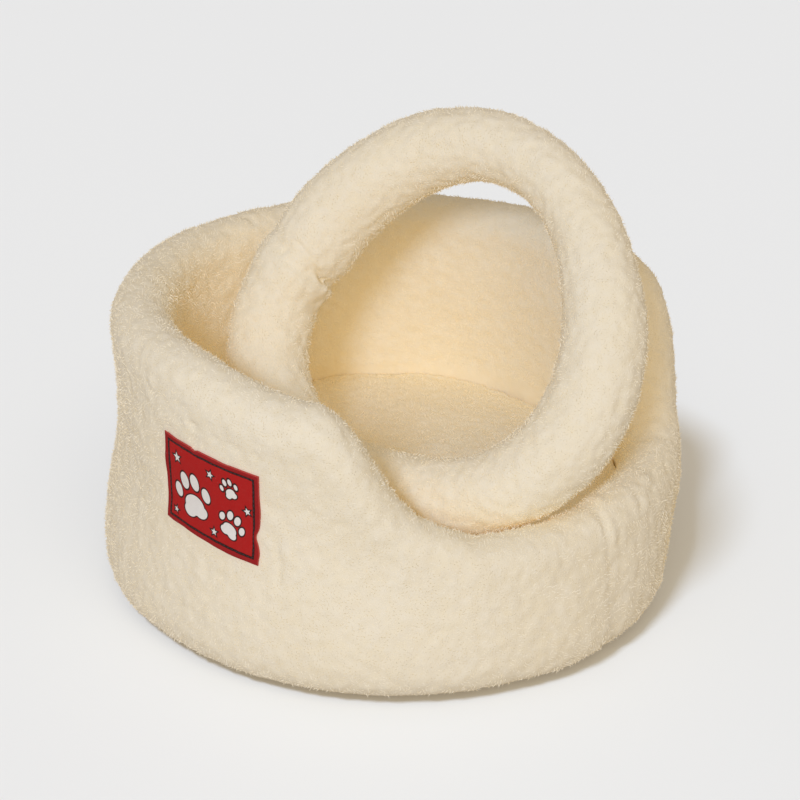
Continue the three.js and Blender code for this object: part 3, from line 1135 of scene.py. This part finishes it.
def fades_out(value, low, high):
    """1 below low and 0 above high, with a soft step between."""
    inputs = {"Value": value, "From Min": low, "From Max": high, "To Min": 1, "To Max": 0}
    return graph.value("ShaderNodeMapRange", {"interpolation_type": "SMOOTHSTEP"}, inputs)


motif = FAR_AWAY
for row in PAWS:
    motif = graph.maths("MINIMUM", motif, paw_distance(row))
for row in STARS:
    motif = graph.maths("MINIMUM", motif, star_distance(row))
from_side = PATCH["wide"] / 2 - graph.maths("ABSOLUTE", across)
from_top = PATCH["tall"] / 2 - graph.maths("ABSOLUTE", up)
from_edge = graph.maths("MINIMUM", from_side, from_top)
wobble = graph.noise(graph.value("ShaderNodeTexCoord", {}, {}, "Object"), 5 * MM)
off_line = graph.maths("ABSOLUTE", from_edge - DARK_LINE["inset"] + (wobble - 0.5) * LINE_WOBBLE)
in_line = fades_out(off_line, *(DARK_LINE["width"] / 2 + step for step in WOVEN_EDGE))
in_outline = fades_out(motif, *(OUTLINE + step for step in PRINTED_EDGE))
in_motif = fades_out(motif, *(-OUTLINE - step for step in reversed(PRINTED_EDGE)))
# Painted shade on the hem band, a darker red.
red = graph.mixed(fades_out(from_edge, *HEM_SHADE_FADE), PATCH_RED, PATCH_HEM_SHADE_RED)
# Painted highlight: a thin lighter red line at the very edge of the fold.
red = graph.mixed(fades_out(from_edge, *FOLD_HIGHLIGHT_FADE), red, PATCH_FOLD_HIGHLIGHT_RED)
colour = graph.mixed(graph.maths("MAXIMUM", in_line, in_outline), red, PATCH_DARK)
colour = graph.mixed(in_motif, colour, PATCH_WHITE)
turn = 2 * math.pi / THREAD_PITCH
threads = graph.maths("SINE", across * turn) * graph.maths("SINE", up * turn)
wear = threads * THREAD_WEAR + wobble * WOBBLE_WEAR
relief = {"Strength": 0.5, "Distance": 0.12 * MM, "Height": threads}
woven_look = {
    "Base Color": graph.mixed(wear, colour, WORN),
    "Roughness": 0.82,
    "Specular IOR Level": 0.2,
    "Normal": graph.value("ShaderNodeBump", {}, relief),
}
graph.fill(shader, woven_look)

patch_thread, graph, shader = new_material("patch_thread")
graph.fill(shader, {"Base Color": THREAD, "Roughness": 0.6})
print("motifs", len(PAWS), "paw prints and", len(STARS), "stars")

# %% [markdown]
# The stitches repeat along a line, so a Geometry Nodes tree makes them: the line's edges become a
# curve, points are set along it at the pitch of the sewing, and a small drop of thread is laid on each
# one in the direction of the line.

# %% Stitch tree
graph, given = group_with(
    "stitches",
    [
        ("Pitch", "NodeSocketFloat", 3.7 * MM),
        ("Length", "NodeSocketFloat", 3.2 * MM),
        ("Width", "NodeSocketFloat", 0.9 * MM),
        ("Material", "NodeSocketMaterial", None),
    ],
)
line = graph.value("GeometryNodeMeshToCurve", {}, {"Mesh": given["Geometry"]})
spots = graph.node(
    "GeometryNodeCurveToPoints", {"mode": "LENGTH"}, {"Curve": line, "Length": given["Pitch"]}
)
places, directions = [Value(graph, spots.outputs[name]) for name in ("Points", "Tangent")]
drop = graph.value("GeometryNodeMeshUVSphere", {}, {"Segments": 8, "Rings": 6, "Radius": 0.5})
size = vector(given["Width"], given["Width"], given["Length"])
drops = set_on(places, drop, turned_to(directions), size)
real = graph.value("GeometryNodeRealizeInstances", {}, {"Geometry": drops})
real = graph.value("GeometryNodeSetShadeSmooth", {}, {"Geometry": real, "Shade Smooth": True})
stitch_group = end_tree(real)


def stitched(name, line, values):
    """A piece of stitches along a closed line of points, in millimetres."""
    mesh = bpy.data.meshes.new(name)
    count = len(line)
    edges = [(i, (i + 1) % count) for i in range(count)]
    mesh.from_pydata([tuple(point * MM) for point in line], edges, [])
    piece = run_tree(new_piece(name, mesh), stitch_group, values)
    print(name, "triangles", triangles_of(piece))
    return piece


print("stitch tree nodes", len(stitch_group.nodes))

# %% [markdown]
# The patch lies on the dressed wall, so its points are found by looking from outside straight at the
# wall's axis. A flat piece with a cloth modifier could be shrunk onto the wall, but a small grid whose
# points are placed one by one keeps the hem, the sewn groove and the nicks in its edges exactly where
# the photo has them. The table of nicks moves the edge in, or out where the depth is below 0.

# %% Patch
PATCH_STEP = 1.2
PATCH_GAP = 0.45
HEM = {"width": 3, "height": 0.3}
SEWN_GROOVE = {"width": 0.9, "depth": 0.35}
PATCH_SWELL = {"from": 6, "to": 16, "height": 0.25}
HEM_SOFTNESS = 0.6
RIPPLE = {"size": 9, "height": 0.3, "seed": 4.2}
EDGE_ROUNDING = {"reach": 1.2, "depth": 0.55}
WAIST_RADIUS = 234.5
LOOKED_FROM = 320
NICK_REACH = 6
SEWING_SIDE_STEPS = 16
THREAD_STANDS_OUT = 0.1
# For each edge, the nicks in it: where, how wide and how deep.
EDGE_NICKS = {
    "top": [(-13, 2.2, 1.6), (-33, 6, 0.5), (16, 5, 0.5)],
    "right": [(-15, 5.5, 2.8), (-28, 3.5, -0.6), (6, 9, -0.7)],
    "left": [(12, 9, -1.6)],
    "bottom": [(20, 14, -0.7), (-26, 7, 0.5)],
}


def on_patch(across, up, out):
    """A point that stands out from the wall, by coordinates from the patch's middle."""
    height = PATCH["height"] + up - math.tan(math.radians(PATCH["slope"])) * across
    angle = PATCH["angle"] + math.degrees(across / WAIST_RADIUS)
    start = around(angle, LOOKED_FROM, height)
    inwards = Vector(-start[:2]).to_3d().normalized()
    hit = wall_tree.ray_cast(Vector(start * MM), inwards)[0]
    return np.array(hit) / MM - np.array(inwards) * (PATCH_GAP + out)


def nicked(across, up):
    """The coordinates with the edges' nicks in them, which die away inwards."""
    half_wide, half_tall = PATCH["wide"] / 2, PATCH["tall"] / 2
    for side, nicks in EDGE_NICKS.items():
        level = side in ("top", "bottom")
        sign = 1 if side in ("top", "right") else -1
        half = half_tall if level else half_wide
        for at, width, depth in nicks:
            along, reach = (across, sign * up) if level else (up, sign * across)
            move = sign * depth * math.exp(-(((along - at) / width) ** 2))
            move *= float(smooth_step(half - NICK_REACH, half, reach))
            across, up = (across, up - move) if level else (across - move, up)
    return across, up


def patch_height(across, up):
    """How far the cloth's face stands above its back."""
    from_edge = min(PATCH["wide"] / 2 - abs(across), PATCH["tall"] / 2 - abs(up))
    swell = smooth_step(PATCH_SWELL["from"], PATCH_SWELL["to"], from_edge)
    hem = smooth_step(HEM["width"] + HEM_SOFTNESS, HEM["width"] - HEM_SOFTNESS, from_edge)
    groove = math.exp(-(((from_edge - DARK_LINE["inset"]) / SEWN_GROOVE["width"]) ** 2))
    ripple = noise.noise(Vector((across / RIPPLE["size"], up / RIPPLE["size"], RIPPLE["seed"])))
    height = PATCH["thick"] + PATCH_SWELL["height"] * float(swell) + HEM["height"] * float(hem)
    height += RIPPLE["height"] * ripple - SEWN_GROOVE["depth"] * groove
    return height - EDGE_ROUNDING["depth"] * float(smooth_step(EDGE_ROUNDING["reach"], 0, from_edge))


columns = round(PATCH["wide"] / PATCH_STEP)
rows = round(PATCH["tall"] / PATCH_STEP)
shape = bmesh.new()
map_layer = shape.loops.layers.uv.new("cloth")
flat_places = {}
grids = []
for face_side in ("back", "front"):
    grid = []
    for j in range(rows + 1):
        for i in range(columns + 1):
            flat = PATCH["wide"] * (i / columns - 0.5), PATCH["tall"] * (j / rows - 0.5)
            out = patch_height(*flat) if face_side == "front" else 0
            corner = shape.verts.new(Vector(on_patch(*nicked(*flat), out)) * MM)
            flat_places[corner] = flat
            grid.append(corner)
    grids.append(grid)
back, front = grids


def cell(grid, i, j):
    here = j * (columns + 1) + i
    return grid[here], grid[here + 1], grid[here + columns + 2], grid[here + columns + 1]


for j in range(rows):
    for i in range(columns):
        shape.faces.new(cell(front, i, j)).smooth = True
        shape.faces.new(reversed(cell(back, i, j))).smooth = True
edge_steps = [(i, 0) for i in range(columns)] + [(columns, j) for j in range(rows)]
edge_steps += [(i, rows) for i in range(columns, 0, -1)] + [(0, j) for j in range(rows, 0, -1)]
rim = [j * (columns + 1) + i for i, j in edge_steps]
for here, there in zip(rim, rim[1:] + rim[:1]):
    shape.faces.new((back[here], back[there], front[there], front[here]))
for face in shape.faces:
    for loop in face.loops:
        loop[map_layer].uv = [value / PATCH_MAP_SIZE + 0.5 for value in flat_places[loop.vert]]
patch_mesh = put_shape(shape, bpy.data.meshes.new("patch_cloth"))
patch_mesh.materials.append(patch_cloth)
patch = new_piece("patch_cloth", patch_mesh)

half_sizes = np.array([PATCH["wide"] / 2, PATCH["tall"] / 2]) - DARK_LINE["inset"]
turns = np.array([(-1, -1), (1, -1), (1, 1), (-1, 1), (-1, -1)])
line = []
for start, end in zip(turns, turns[1:]):
    for share in np.arange(0, 1, 1 / SEWING_SIDE_STEPS):
        flat = half_sizes * (start + share * (end - start))
        line.append(on_patch(*nicked(*flat), patch_height(*flat) + THREAD_STANDS_OUT))
sewing = {"Pitch": 3.7 * MM, "Length": 3.1 * MM, "Width": 0.85 * MM, "Material": patch_thread}
patch_stitches = stitched("patch_stitches", line, sewing)
on_bed("patch_cloth", patch, patch_stitches)
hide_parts("patch")
print("patch triangles", triangles_of(patch))

# %% [markdown]
# The base panel closes the bed underneath. It is a plain disc of strong woven cloth, and nothing of it
# shows in the photo, so it gets what any such panel has: a rounded edge and a row of sewing that is
# sunk into the underside, so that the bed stands flat. A profile turned round the axis makes it.

# %% Base panel
BASE = {"radius": 192.3, "thick": 3, "edge": 1.4}
BASE_SEWING = {"radius": 185, "width": 2.2, "depth": 0.9}
BASE_STEP = 6
BASE_FINE_STEP = 0.75
BASE_FINE_BAND = 3
BASE_SIDES = 160
SEWING_STEP = 3
CANVAS_PITCH = 1.3 * MM
SLUB_SIZE = 4 * MM
CANVAS = (0.80, 0.70, 0.52, 1)
CANVAS_DARK = (0.70, 0.59, 0.42, 1)
CANVAS_THREAD = (0.86, 0.80, 0.66, 1)

base_cloth, graph, shader = new_material("base_cloth")
place = graph.value("ShaderNodeTexCoord", {}, {}, "Object")
split = graph.node("ShaderNodeSeparateXYZ", {}, {"Vector": place})
turn = 2 * math.pi / CANVAS_PITCH
warp, weft = [graph.maths("SINE", Value(graph, split.outputs[name]) * turn) for name in ("X", "Y")]
weave = warp * weft * 0.5 + 0.5
slubs = graph.noise(place, SLUB_SIZE, 3)
canvas_look = {
    "Base Color": graph.mixed(weave * 0.5 + slubs * 0.5, CANVAS_DARK, CANVAS),
    "Roughness": 0.85,
    "Specular IOR Level": 0.2,
    "Normal": graph.value("ShaderNodeBump", {}, {"Strength": 0.6, "Distance": 0.3 * MM, "Height": weave}),
}
graph.fill(shader, canvas_look)

base_thread, graph, shader = new_material("base_thread")
graph.fill(shader, {"Base Color": CANVAS_THREAD, "Roughness": 0.6})


def sunk(radius):
    """How far the row of sewing draws the underside in."""
    aside = (radius - BASE_SEWING["radius"]) / BASE_SEWING["width"]
    return BASE_SEWING["depth"] * math.exp(-(aside**2))


edge, radius = BASE["edge"], BASE["radius"]
fine_from = BASE_SEWING["radius"] - BASE_FINE_BAND
radii = [*np.arange(BASE_STEP, fine_from - 1, BASE_STEP)]
radii += [*np.arange(fine_from, radius - edge, BASE_FINE_STEP)]
profile = [(r, sunk(r)) for r in radii]
for turn in np.radians(range(-90, 91, 30)):
    tall = edge if turn < 0 else BASE["thick"] - edge
    profile.append((radius - edge + edge * math.cos(turn), tall + edge * math.sin(turn)))
profile += [(r, BASE["thick"]) for r in reversed(radii)]
shape = bmesh.new()
rings = []
for side in range(BASE_SIDES):
    angle = 360 * side / BASE_SIDES
    rings.append([shape.verts.new(Vector(around(angle, r, z)) * MM) for r, z in profile])
middles = [shape.verts.new((0, 0, z * MM)) for z in (0, BASE["thick"])]
for here, there in zip(rings, rings[1:] + rings[:1]):
    for k in range(len(profile) - 1):
        shape.faces.new((here[k], there[k], there[k + 1], here[k + 1])).smooth = True
    shape.faces.new((middles[0], there[0], here[0])).smooth = True
    shape.faces.new((middles[1], here[-1], there[-1])).smooth = True
bmesh.ops.recalc_face_normals(shape, faces=shape.faces)
base_mesh = put_shape(shape, bpy.data.meshes.new("base_cloth_panel"))
base_mesh.materials.append(base_cloth)
base = new_piece("base_cloth_panel", base_mesh)
thread_height = BASE_SEWING["depth"] - THREAD_STANDS_OUT
line = [around(angle, BASE_SEWING["radius"], thread_height) for angle in range(0, 360, SEWING_STEP)]
sewing = {"Pitch": 4.2 * MM, "Length": 3.4 * MM, "Width": 0.8 * MM, "Material": base_thread}
base_stitches = stitched("base_stitches", line, sewing)
on_bed("base_cloth", base, base_stitches)
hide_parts("base_panel")
base_area = math.pi * (radius * MM) ** 2
base_flat = (2 * radius * MM, 2 * radius * MM)
print("base panel triangles", triangles_of(base))

# %% Sizes and end
shown_low, shown_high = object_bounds()
rows = {"cad": [list(cad_low), list(cad_high)], "shown": [list(shown_low), list(shown_high)]}
